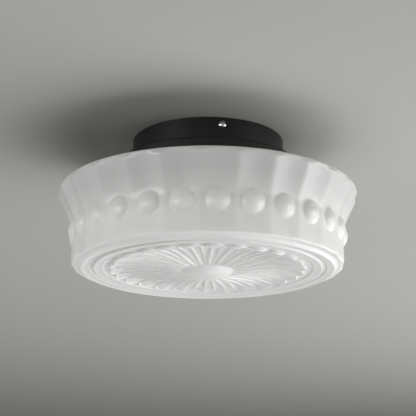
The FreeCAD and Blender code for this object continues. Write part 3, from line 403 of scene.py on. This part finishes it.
def wear_group():
    """1 on edges that handling and assembly have rubbed, broken up by noise."""
    tree, ins, outs = new_group("edge_wear", {
        "Position": ("v", None), "Radius": ("f", 0.0006), "Size": ("f", 0.004),
        "Amount": ("f", 0.5),
    }, {"Mask": "f"})
    soft = add_node(tree, "ShaderNodeBevel", {"Radius": ins["Radius"]}, samples=4).outputs[0]
    plain = add_node(tree, "ShaderNodeNewGeometry").outputs["Normal"]
    likeness = add_node(tree, "ShaderNodeVectorMath", {0: soft, 1: plain},
                        operation="DOT_PRODUCT").outputs["Value"]
    edge = spread(tree, likeness, zero_at=0.995, one_at=0.93)
    scale = maths(tree, "DIVIDE", 1.0, ins["Size"])
    patches = noise(tree, ins["Position"], scale, detail=5.0, roughness=0.65)
    rubbed = maths(tree, "MULTIPLY", edge, spread(tree, patches, zero_at=0.45, one_at=0.6))
    mask = maths(tree, "MULTIPLY", rubbed, ins["Amount"], clamp=True)
    tree.links.new(mask, outs["Mask"])
    return tree


def dust_group():
    """A fine film of dust on faces that look up."""
    tree, ins, outs = new_group("dust", {"Position": ("v", None), "Amount": ("f", 0.3)},
                                {"Mask": "f"})
    normal = add_node(tree, "ShaderNodeNewGeometry").outputs["Normal"]
    up = add_node(tree, "ShaderNodeSeparateXYZ", {0: normal}).outputs[2]
    flat = spread(tree, up, zero_at=0.55, one_at=1.0)
    patches = noise(tree, ins["Position"], scale=90.0, detail=6.0)
    film = maths(tree, "MULTIPLY", flat, spread(tree, patches, zero_at=0.35, one_at=0.7))
    tree.links.new(maths(tree, "MULTIPLY", film, ins["Amount"]), outs["Mask"])
    return tree


def lines_group():
    """Fine lines along one direction, as rolling, drawing or turning leaves them."""
    tree, ins, outs = new_group("drawn_lines", {
        "Position": ("v", None), "Stretch": ("v", (1.0, 1.0, 1.0)), "Size": ("f", 0.0006),
    }, {"Mask": "f"})
    pulled = add_node(tree, "ShaderNodeVectorMath", {0: ins["Position"], 1: ins["Stretch"]},
                      operation="MULTIPLY").outputs[0]
    scale = maths(tree, "DIVIDE", 1.0, ins["Size"])
    tree.links.new(noise(tree, pulled, scale, detail=4.0, roughness=0.7), outs["Mask"])
    return tree


CLOUD, GRAIN, WEAR = cloud_group(), grain_group(), wear_group()
DUST, LINES = dust_group(), lines_group()
WEAR_AMOUNT = 0.75
DUST_COLOUR = colour(176, 170, 160)
DUST_ROUGH = 0.9
LINE_SIZE = 0.0007
LINE_RELIEF = 0.8
FINISHES = {}


def placed(tree, group, inputs):
    """One use of a shader group in a material, with its own values. Returns its outputs."""
    return add_node(tree, "ShaderNodeGroup", inputs, node_tree=group).outputs


def finish(name, dark, light, rough, metal=0.0, cloud=0.02, gloss_change=0.08, grain=0.0008,
           swell=0.01, swell_share=0.4, relief=0.00002, wear=None, wear_radius=0.0006,
           wear_rough=0.3, dust=0.0, lines=None, line_gloss=0.0, **shader):
    """Make one finish and keep it in FINISHES: clouded colour, grain, drawn lines, worn edges and
    dust, on a shader of its own. Sizes are in metres. Further names are the shader's inputs."""
    material = bpy.data.materials.new(name)
    material.use_nodes = True
    tree = material.node_tree
    body = tree.nodes["Principled BSDF"]
    position = add_node(tree, "ShaderNodeTexCoord").outputs["Object"]
    clouds = placed(tree, CLOUD, {"Position": position, "Size": cloud, "Dark": dark,
                                  "Light": light})
    base = clouds["Color"]
    gloss = maths(tree, "MULTIPLY_ADD", clouds["Mask"], gloss_change, rough - gloss_change / 2)
    height = placed(tree, GRAIN, {"Position": position, "Size": grain, "Swell": swell,
                                  "Swell share": swell_share})["Height"]
    if lines:
        strokes = placed(tree, LINES, {"Position": position, "Stretch": lines,
                                       "Size": LINE_SIZE})["Mask"]
        shift = maths(tree, "MULTIPLY", maths(tree, "SUBTRACT", strokes, 0.5), line_gloss)
        gloss = maths(tree, "ADD", gloss, shift)
        height = maths(tree, "ADD", height, maths(tree, "MULTIPLY", strokes, LINE_RELIEF))
    if wear:
        rubbed = placed(tree, WEAR, {"Position": position, "Radius": wear_radius,
                                     "Amount": WEAR_AMOUNT})["Mask"]
        base = mix_colours(tree, rubbed, base, wear)
        gloss = mix_values(tree, rubbed, gloss, wear_rough)
    if dust:
        film = placed(tree, DUST, {"Position": position, "Amount": dust})["Mask"]
        base = mix_colours(tree, film, base, DUST_COLOUR)
        gloss = mix_values(tree, film, gloss, DUST_ROUGH)
    bump = add_node(tree, "ShaderNodeBump", {"Height": height, "Distance": relief,
                                             "Strength": 1.0})
    tree.links.new(base, body.inputs["Base Color"])
    tree.links.new(gloss, body.inputs["Roughness"])
    tree.links.new(bump.outputs[0], body.inputs["Normal"])
    body.inputs["Metallic"].default_value = metal
    body.inputs["Subsurface Radius"].default_value = (1.0, 1.0, 1.0)
    for label, value in shader.items():
        body.inputs[label.replace("_", " ")].default_value = value
    FINISHES[name] = material


finish("opal_glass", colour(236, 237, 235), colour(243, 243, 241), 0.42, cloud=0.045,
       gloss_change=0.06, grain=0.0007, swell=0.016, swell_share=0.9, relief=0.00008, dust=0.12,
       Subsurface_Weight=0.9, Subsurface_Scale=0.0045, Coat_Weight=0.28, Coat_Roughness=0.18)
finish("black_enamel", colour(17, 17, 16), colour(23, 23, 22), 0.44, cloud=0.03,
       gloss_change=0.07, grain=0.00035, swell=0.004, swell_share=0.35, relief=0.00003,
       wear=colour(92, 90, 86), wear_rough=0.4, dust=0.25, Specular_IOR_Level=0.3)
finish("zinc_steel", colour(150, 152, 154), colour(188, 190, 192), 0.42, metal=1.0, cloud=0.008,
       gloss_change=0.18, grain=0.0006, relief=0.00001, wear=colour(215, 215, 214),
       lines=(0.06, 1.0, 1.0), line_gloss=0.25, dust=0.2)
finish("bright_screw", colour(172, 172, 172), colour(206, 206, 205), 0.24, metal=1.0,
       cloud=0.002, gloss_change=0.1, grain=0.0003, relief=0.000006, wear=colour(232, 232, 230),
       wear_radius=0.0003)
finish("spring_steel", colour(108, 110, 114), colour(146, 147, 150), 0.3, metal=1.0, cloud=0.006,
       gloss_change=0.12, grain=0.0005, relief=0.000008, wear=colour(196, 196, 196),
       wear_radius=0.0003, lines=(1.0, 1.0, 0.06), line_gloss=0.2)
finish("silicone", colour(214, 214, 210), colour(228, 228, 225), 0.55, cloud=0.006,
       gloss_change=0.1, grain=0.0006, relief=0.00002)
finish("black_phenolic", colour(24, 22, 21), colour(36, 32, 30), 0.3, cloud=0.004,
       gloss_change=0.12, grain=0.0009, swell=0.006, relief=0.00003, wear=colour(70, 60, 54),
       wear_rough=0.5, dust=0.2)
finish("porcelain", colour(228, 224, 214), colour(240, 238, 231), 0.22, cloud=0.006,
       gloss_change=0.1, grain=0.0006, relief=0.00002, wear=colour(206, 198, 184))
finish("contact_brass", colour(176, 138, 66), colour(214, 180, 102), 0.3, metal=1.0, cloud=0.004,
       gloss_change=0.16, grain=0.0005, relief=0.000008, wear=colour(232, 206, 140),
       wear_radius=0.0003, lines=(0.08, 1.0, 1.0), line_gloss=0.15)
finish("plated_screw", colour(160, 160, 158), colour(196, 196, 192), 0.3, metal=1.0, cloud=0.002,
       gloss_change=0.14, grain=0.0004, relief=0.000008, wear=colour(222, 222, 218),
       wear_radius=0.0003)
finish("lamp_insulator_black", colour(18, 18, 22), colour(30, 30, 36), 0.12, cloud=0.003,
       gloss_change=0.08, grain=0.0005, relief=0.00001)
finish("nickel_cap", colour(172, 168, 160), colour(204, 201, 194), 0.24, metal=1.0, cloud=0.004,
       gloss_change=0.14, grain=0.0005, relief=0.00001, wear=colour(226, 222, 214),
       wear_radius=0.0004, lines=(1.0, 0.08, 0.08), line_gloss=0.15)
finish("lamp_white", colour(226, 226, 222), colour(236, 236, 233), 0.38, cloud=0.01,
       gloss_change=0.08, grain=0.0006, relief=0.000015, wear=colour(206, 204, 198))
finish("lamp_opal", colour(238, 237, 230), colour(244, 243, 238), 0.18, cloud=0.015,
       gloss_change=0.06, grain=0.0007, relief=0.00001, Subsurface_Weight=0.3,
       Subsurface_Scale=0.003)
finish("block_nylon", colour(206, 204, 192), colour(222, 220, 210), 0.42, cloud=0.005,
       gloss_change=0.1, grain=0.0005, relief=0.00002, wear=colour(188, 186, 172),
       Subsurface_Weight=0.2, Subsurface_Scale=0.002)
finish("wire_brown", colour(84, 50, 32), colour(104, 64, 42), 0.42, cloud=0.006,
       gloss_change=0.1, grain=0.0004, relief=0.00001)
finish("wire_blue", colour(28, 68, 138), colour(40, 86, 160), 0.42, cloud=0.006,
       gloss_change=0.1, grain=0.0004, relief=0.00001)
finish("wire_green_yellow", colour(52, 122, 44), colour(204, 190, 40), 0.42, cloud=0.0035,
       gloss_change=0.1, grain=0.0004, relief=0.00001)
finish("rubber_black", colour(22, 22, 22), colour(34, 34, 33), 0.6, cloud=0.004,
       gloss_change=0.1, grain=0.0005, relief=0.00003, dust=0.2)


def paint_light_and_shade(material):
    """Paint light and shade into the opal glass by its form: painted shade greying it towards the
    rim, painted shade in hollows and creases, and a painted highlight on sharp crests."""
    tree = material.node_tree
    body = tree.nodes["Principled BSDF"]
    base = body.inputs["Base Color"].links[0].from_socket
    sharpness = add_node(tree, "ShaderNodeNewGeometry").outputs["Pointiness"]
    position = add_node(tree, "ShaderNodeTexCoord").outputs["Object"]
    height = add_node(tree, "ShaderNodeSeparateXYZ", {0: position}).outputs[2]
    # Painted shade: the glass greys from the band up towards the rim.
    upper_shade = spread(tree, height, zero_at=-0.108, one_at=-0.072)
    # Painted shade in hollows and creases, where the surface curves inward.
    groove_shade = spread(tree, sharpness, zero_at=0.49, one_at=0.44)
    # Painted highlight on sharp crests and edges, where the surface curves outward.
    ridge_highlight = spread(tree, sharpness, zero_at=0.51, one_at=0.57)
    # Each painted mask with its share and its painted tint.
    for mask, share, tint in ((upper_shade, 0.68, colour(188, 190, 189)),
                              (groove_shade, 0.6, colour(190, 189, 185)),
                              (ridge_highlight, 0.85, colour(255, 255, 254))):
        base = mix_colours(tree, maths(tree, "MULTIPLY", mask, share), base, tint)
    tree.links.new(base, body.inputs["Base Color"])


def dress_nodes():
    """Give every carried-over node the finish of its slot in the record."""
    slots = {part["node"]: part["material_slot"] for part in frame["record"]["subparts"]}
    for name, obj in frame["nodes"].items():
        obj.data.materials.clear()
        obj.data.materials.append(FINISHES[slots[name]])


def make_ceiling():
    """A wide pale ceiling with a round hole behind the canopy, seen only from the room below."""
    steps = 96
    inner, outer, level = 0.0744, 3.0, 0.0002
    verts, faces = [], []
    for r in (inner, outer):
        verts += [(r * cos(2 * pi * k / steps), r * sin(2 * pi * k / steps), level)
                  for k in range(steps)]
    for k in range(steps):
        n = (k + 1) % steps
        faces.append((k, n, steps + n, steps + k))
    mesh = bpy.data.meshes.new("ceiling")
    mesh.from_pydata(verts, [], faces)
    ceiling = bpy.data.objects.new("ceiling", mesh)
    bpy.context.collection.objects.link(ceiling)
    material = bpy.data.materials.new("ceiling_paint")
    material.use_nodes = True
    tree = material.node_tree
    paint = tree.nodes["Principled BSDF"]
    paint.inputs["Base Color"].default_value = colour(194, 193, 189)
    paint.inputs["Roughness"].default_value = 0.9
    clear = add_node(tree, "ShaderNodeBsdfTransparent").outputs[0]
    behind = add_node(tree, "ShaderNodeNewGeometry").outputs["Backfacing"]
    mix = add_node(tree, "ShaderNodeMixShader", {0: behind, 1: paint.outputs[0], 2: clear})
    tree.links.new(mix.outputs[0], tree.nodes["Material Output"].inputs["Surface"])
    mesh.materials.append(material)


def make_world():
    """Faint light from all round, and a pale backdrop that the camera, glass and gloss show."""
    world = bpy.data.worlds.new("studio")
    bpy.context.scene.world = world
    world.use_nodes = True
    tree = world.node_tree
    tree.nodes.clear()
    path = add_node(tree, "ShaderNodeLightPath").outputs
    seen = maths(tree, "ADD", path["Is Camera Ray"], path["Is Transmission Ray"], clamp=True)
    seen = maths(tree, "ADD", seen, path["Is Glossy Ray"], clamp=True)
    backdrop = add_node(tree, "ShaderNodeBackground", {"Color": colour(226, 226, 224),
                                                       "Strength": 1.0}).outputs[0]
    ambient = add_node(tree, "ShaderNodeBackground", {"Color": (1.0, 1.0, 1.0, 1.0),
                                                      "Strength": 0.01}).outputs[0]
    mix = add_node(tree, "ShaderNodeMixShader", {0: seen, 1: ambient, 2: backdrop})
    out = add_node(tree, "ShaderNodeOutputWorld")
    tree.links.new(mix.outputs[0], out.inputs["Surface"])


def area_light(name, place, size, power):
    """A soft panel that faces the middle of the ceiling light."""
    middle = Vector((0.0, 0.0, -0.08))
    panel = bpy.data.lights.new(name, "AREA")
    panel.shape = "RECTANGLE"
    panel.size, panel.size_y = size
    panel.energy = power
    lamp = bpy.data.objects.new(name, panel)
    lamp.location = place
    lamp.rotation_euler = (middle - Vector(place)).to_track_quat("-Z", "Y").to_euler()
    bpy.context.collection.objects.link(lamp)


def make_camera():
    """The photograph's viewpoint: in front, below and looking up a little."""
    focal_px, image_px, sensor = 1248.75, 416.0, 36.0
    place, pitch, roll = (0.00015, -1.2, -0.427), 0.29, 0.002
    data = bpy.data.cameras.new("camera")
    data.sensor_width = sensor
    data.lens = focal_px / image_px * sensor
    camera = bpy.data.objects.new("camera", data)
    turn = Matrix.Rotation(pi / 2 + pitch, 4, "X") @ Matrix.Rotation(roll, 4, "Z")
    camera.matrix_world = Matrix.Translation(place) @ turn
    bpy.context.collection.objects.link(camera)
    bpy.context.scene.camera = camera


shade = make_shade()
shade.data.materials.append(FINISHES["opal_glass"])
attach(shade, "shade")
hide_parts("shade_neck", "shade_shoulder", "shade_flare", "shade_band", "shade_floor")

paint_light_and_shade(FINISHES["opal_glass"])
dress_nodes()
make_ceiling()
make_world()
area_light("key_below_right", (1.2, 0.3, -1.5), (2.2, 2.2), 21.5)
area_light("back_right", (1.6, 0.9, -0.9), (1.3, 1.3), 7.5)
area_light("side_right", (1.8, -0.3, -0.25), (1.3, 0.5), 10.0)
area_light("front_right", (1.5, -0.9, -0.6), (1.3, 1.3), 4.0)
area_light("front_left", (-1.5, -1.2, -0.2), (1.4, 0.4), 14.5)
area_light("back_left", (-1.6, 0.6, -0.6), (1.4, 1.4), 2.5)
area_light("front_level", (0.0, -1.9, -0.2), (1.8, 0.4), 2.2)
area_light("below", (0.0, 0.3, -1.9), (1.8, 1.8), 7.0)
area_light("above", (0.5, -0.7, 1.6), (1.8, 1.8), 26.0)
make_camera()

bpy.context.scene.view_settings.view_transform = "Standard"
